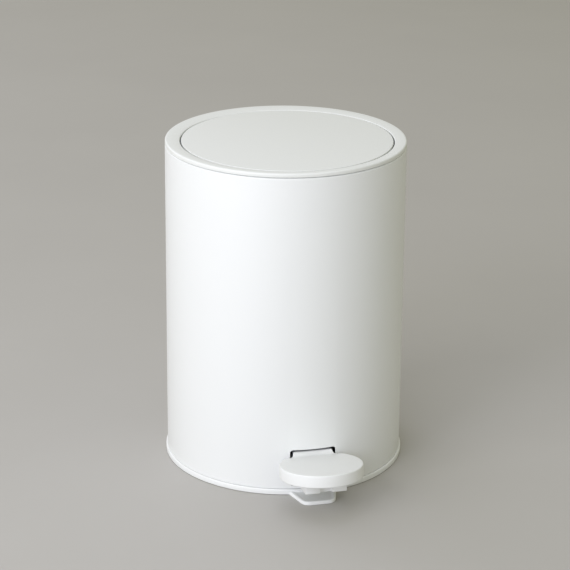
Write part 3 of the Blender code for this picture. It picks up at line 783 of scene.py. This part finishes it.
def handle():
    """Wire handle that lies on the front half of the bucket's rim, with a moulded grip and two end caps."""
    corner = 4.0
    end_x = box_mm("bucket_handle")[0].x
    right = [(75.0, 0.0), (BAIL_R - corner, 0.0)]
    right += [
        (BAIL_R - corner + corner * math.sin(a), -corner + corner * math.cos(a))
        for a in (math.radians(15 * k) for k in range(1, 6))
    ]
    first = math.asin(corner * 1.3 / -end_x)
    count = 90
    front = [
        (BAIL_R * math.cos(a), BAIL_R * math.sin(a))
        for a in (-first - (math.pi - 2 * first) * k / count for k in range(count + 1))
    ]
    route = right + front + [(-x, y) for x, y in reversed(right)]
    line = wire("handle_wire", [(x, y + LID_Y, BAIL_Z) for x, y in route], BAIL_WIRE)
    show(line, "handle", "bright_steel", "bucket_handle")

    sweep, steps, sides = math.radians(36), 60, 28
    loops = []
    inner, outer = BAIL_WIRE + 0.25, 3.15

    def ring(radius, share):
        turn = -math.pi / 2 - sweep / 2 + sweep * share
        centre = Vector((BAIL_R * math.cos(turn), BAIL_R * math.sin(turn) + LID_Y, BAIL_Z))
        out = Vector((math.cos(turn), math.sin(turn), 0))
        spokes = [math.tau * k / sides for k in range(sides + 1)]
        return [centre + radius * (out * math.cos(s) + Vector((0, 0, math.sin(s)))) for s in spokes]

    for k in range(steps + 1):
        share = k / steps
        end = min(share, 1 - share) * steps
        rib = 0.16 * math.cos(math.tau * share * 20) if 4 < end else 0.0
        radius = outer - 0.16 - rib - 0.5 * max(0.0, 1 - end / 2) ** 2
        loops.append(ring(radius, share))
    loops.append(ring(inner, 1.0))
    loops.append(ring(inner, 0.0))
    loops.append(loops[0])
    show(loft("grip", loops), "handle", "grey_plastic", "handle_grip")

    for side, name in ((-1, "left"), (1, "right")):
        node = f"handle_cap_{name}"
        low, high = box_mm(node)
        inside, outside = (low.x, high.x) if side > 0 else (high.x, low.x)
        tip = inside + side * 1.2
        cap = turned(
            f"end_{node}",
            [
                (0, inside, 0),
                (high.z - BAIL_Z, inside, 0.8),
                (high.z - BAIL_Z, outside, 0.3),
                (BAIL_WIRE + 0.25, outside, 0),
                (BAIL_WIRE + 0.25, tip, 0),
                (0, tip, 0),
            ],
            (0, LID_Y, BAIL_Z),
            "X",
            SMALL_SEGMENTS,
        )
        show(cap, "handle", "nylon", node)


# ---------------------------------------------------------------- mechanism


def bar(node, body, slot, axis, head=None):
    """A round bar in place of a CAD pin or rod, with rounded ends and, if asked, a head at each end."""
    low, high = box_mm(node)
    middle = (low + high) / 2
    along = 0 if axis == "X" else 2
    start, end = low[along], high[along]
    radius = (high.y - low.y) / 2
    centre = (0, middle.y, middle.z) if axis == "X" else (middle.x, middle.y, 0)
    if head:
        shank, thick = head
        corners = [
            (0, start, 0),
            (radius, start, 0.5),
            (radius, start + thick, 0.2),
            (shank, start + thick, 0),
            (shank, end - thick, 0),
            (radius, end - thick, 0.2),
            (radius, end, 0.5),
            (0, end, 0),
        ]
    else:
        corners = [(0, start, 0), (radius, start, 0.4), (radius, end, 0.4), (0, end, 0)]
    piece = turned(node + "_bar", corners, centre, axis, SMALL_SEGMENTS, 4)
    show(piece, body, slot, node)


def screw(node, body, head_up, head_thick, shank):
    """A pan-head screw with a cross recess in place of a CAD screw."""
    low, high = box_mm(node)
    middle = (low + high) / 2
    radius = (high.x - low.x) / 2
    outer, tip = (high.z, low.z) if head_up else (low.z, high.z)
    way = -1 if head_up else 1
    seat = outer + way * head_thick
    corners = [
        (0, outer, 0),
        (radius, outer, min(0.8, head_thick * 0.7)),
        (radius, seat, 0.1),
        (shank, seat, 0.1),
        (shank, tip - way * 1.2, 0.1),
        (0, tip, 0),
    ]
    piece = turned(node + "_pan", corners, (middle.x, middle.y, 0), "Z", 36, 4)
    deep = sorted((outer - way * 1.0, outer + way * head_thick * 0.6))
    for long_x, long_y, name in ((1.7, 0.35, "a"), (0.35, 1.7, "b")):
        slot = [
            (middle.x - long_x, middle.y - long_y),
            (middle.x + long_x, middle.y - long_y),
            (middle.x + long_x, middle.y + long_y),
            (middle.x - long_x, middle.y + long_y),
        ]
        boolean(piece, "DIFFERENCE", prism(f"recess_{name}", slot, *deep))
    show(piece, body, "zinc_steel", node)


def return_spring():
    """Coil spring between the base and the lever. The real one is squeezed as the pedal goes down; this one
    is a fixed coil on the housing.
    """
    low, high = box_mm("pedal_return_spring")
    wire_r, coil_r, turns, per_turn = 0.7, 5.2, 6.5, 28
    middle_y = (low.y + high.y) / 2
    bottom, top = low.z + wire_r, high.z - wire_r
    points = []
    for k in range(int(turns * per_turn) + 1):
        turn = k / per_turn
        flat = 0.8
        rise = min(1.0, max(0.0, (turn - flat) / (turns - 2 * flat)))
        angle = math.tau * turn
        points.append(
            (coil_r * math.cos(angle), middle_y + coil_r * math.sin(angle), bottom + (top - bottom) * rise)
        )
    spring = wire("spring", points, wire_r)
    show(spring, "housing", "bright_steel", "pedal_return_spring")
    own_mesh(spring)


def mechanism():
    return_spring()
    bar("pedal_pivot_pin", "housing", "bright_steel", "X", (2.5, 1.5))
    bar("rod_foot_pin", "lift_rod", "bright_steel", "X")
    bar("lid_crank_pin", "lid", "bright_steel", "X")
    bar("lid_hinge_pin", "housing", "bright_steel", "X")
    bar("push_rod", "lift_rod", "zinc_steel", "Z")
    for place in ("front", "rear"):
        for side in ("left", "right"):
            screw(f"pad_screw_{place}_{side}", "pedal", False, 1.6, 1.2)
            screw(f"platform_screw_{place}_{side}", "housing", True, 0.9, 1.5)
    for side in ("left", "right"):
        screw(f"lid_screw_{side}", "lid", False, 1.5, 1.5)
        refine(f"pivot_bracket_{side}", "zinc_steel", 0.3)
        refine(f"pivot_bush_{side}", "nylon", 0.1)
        refine(f"hinge_bracket_{side}", "zinc_steel", 0.25)
    refine("pedal_arm", "white_plastic", 0.45)
    refine("pedal_stop_bumper", "rubber", 0.6)
    refine("bucket_platform", "grey_plastic", 0.2)
    refine("rod_foot", "nylon", 0.3)
    refine("rod_head", "nylon", 0.3)
    refine("rod_guide_lower", "nylon", 0.3)
    refine("rod_guide_upper", "nylon", 0.3)
    refine("damper_cylinder", "grey_plastic", 0.3)
    refine("damper_piston", "bright_steel", 0.15)
    refine("damper_clamp", "zinc_steel", 0.3)
    refine("damper_link", "zinc_steel", 0.3)
    refine("lid_hinge_arms", "zinc_steel", 0.3)


# ---------------------------------------------------------------- studio


def studio():
    """Pale floor, soft daylight from the left and front, and a warm room all round."""
    floor = mesh_object(
        "floor", [(-4000, -4000, 0), (4000, -4000, 0), (4000, 4000, 0), (-4000, 4000, 0)], [(0, 1, 2, 3)]
    )
    floor.data.materials.append(
        surface("floor_paint", [(0.50, 0.485, 0.46), (0.47, 0.455, 0.43)], (0.7, 0.8), 220.0, 2.0, 0.02)
    )

    world = bpy.data.worlds.new("studio")
    world.use_nodes = True
    sky = world.node_tree.nodes["Background"]
    sky.inputs["Color"].default_value = (1.0, 0.99, 0.76, 1.0)
    sky.inputs["Strength"].default_value = 0.46
    bpy.context.scene.world = world

    def softbox(name, place, size, power, colour):
        light = bpy.data.lights.new(name, "AREA")
        light.shape = "RECTANGLE"
        light.size, light.size_y = size
        light.energy = power
        light.color = colour
        obj = bpy.data.objects.new(name, light)
        bpy.context.scene.collection.objects.link(obj)
        obj.location = place
        aim = Vector((0, 0, 0.15)) - Vector(place)
        obj.rotation_euler = aim.to_track_quat("-Z", "Y").to_euler()

    softbox("window", (-1.9, -1.1, 1.1), (1.6, 1.6), 23.5, (1.0, 0.99, 1.0))
    softbox("window_front", (-1.5, -2.1, 1.2), (1.8, 1.6), 30.5, (0.76, 0.80, 1.0))
    softbox("overhead", (-0.3, 0.1, 2.4), (2.0, 2.0), 12.0, (0.68, 0.70, 1.0))
    softbox("rear_fill", (-0.8, 2.2, 1.6), (2.0, 1.4), 12.0, (0.80, 0.80, 1.0))

    view = bpy.context.scene.view_settings
    view.view_transform = "Standard"
    view.look = "None"


def camera():
    """Looks down at the bin from the front, a little to the left, through a long lens."""
    turn, back, height = math.radians(-14.36), 1.7989, 0.8143
    pan = math.radians(-0.0095)
    pitch, roll = math.radians(20.233), math.radians(0.508)
    data = bpy.data.cameras.new("camera")
    data.sensor_width = 36.0
    data.lens = 139.7
    obj = bpy.data.objects.new("camera", data)
    bpy.context.scene.collection.objects.link(obj)
    look = (
        Matrix.Rotation(turn + pan, 4, "Z")
        @ Matrix.Rotation(math.pi / 2 - pitch, 4, "X")
        @ Matrix.Rotation(roll, 4, "Z")
    )
    place = Vector((back * math.sin(turn), -back * math.cos(turn), height))
    obj.matrix_world = Matrix.Translation(place) @ look
    bpy.context.scene.camera = obj


camera()
can_wall()
foot_base()
grip_mat()
opening_collar()
lid_top()
lid_underside()
lid_seat()
pedal_disc()
bucket()
handle()
mechanism()
studio()
